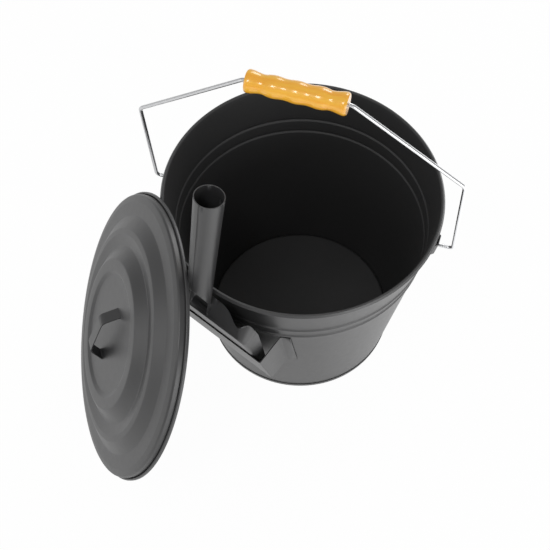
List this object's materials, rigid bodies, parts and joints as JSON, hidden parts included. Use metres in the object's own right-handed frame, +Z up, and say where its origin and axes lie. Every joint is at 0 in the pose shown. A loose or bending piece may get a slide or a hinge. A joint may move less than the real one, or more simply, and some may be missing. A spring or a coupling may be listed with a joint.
{
  "type": "ash bucket",
  "caption": "Round tapered sheet-steel ash bucket with a wire bail and turned wooden grip, a stepped lid leaning at its side and a hand shovel in a pocket.",
  "frame": {"origin": "centre of the bucket's foot, on the floor", "axes": "+Z up along the bucket's axis; X through the two ears, which is the bail's hinge line; the shovel and the lid are on the -Y side"},
  "size_m": [0.405, 0.4532, 0.4558],
  "materials": {
    "coated_sheet": "satin dark grey powder coat",
    "bright_wire": "bright zinc",
    "grip_wood": "orange varnish, glossy"
  },
  "bodies": {
    "bucket": {"bucket_wall": "coated_sheet", "rim_wire": "bright_wire", "bucket_base": "coated_sheet", "ear_left": "coated_sheet", "ear_right": "coated_sheet", "shovel_pocket": "coated_sheet"},
    "bail": {"bail_wire": "bright_wire"},
    "grip": {"bail_grip": "grip_wood"},
    "shovel": {"shovel": "coated_sheet"},
    "lid": {"lid": "coated_sheet", "lid_handle": "coated_sheet"}
  },
  "joints": [
    {"name": "bail_swing", "type": "hinge", "parent": "bucket", "child": "bail", "pos_m": [0, 0, 0.2114], "axis": [1, 0, 0], "range_deg": [-148, 15]},
    {"name": "grip_spin", "type": "hinge", "parent": "bail", "child": "grip", "pos_m": [0, -0.02916, 0.44448], "axis": [1, 0, 0], "continuous": true},
    {"name": "shovel_draw", "type": "slide", "parent": "bucket", "child": "shovel", "axis": [-0.1163, -0.2736, 0.9548], "range_m": [0, 0.19]},
    {"name": "lid_lift", "type": "slide", "parent": "shovel", "child": "lid", "axis": [-0.8053, -0.4234, 0.415], "range_m": [0, 0.3]}
  ]
}
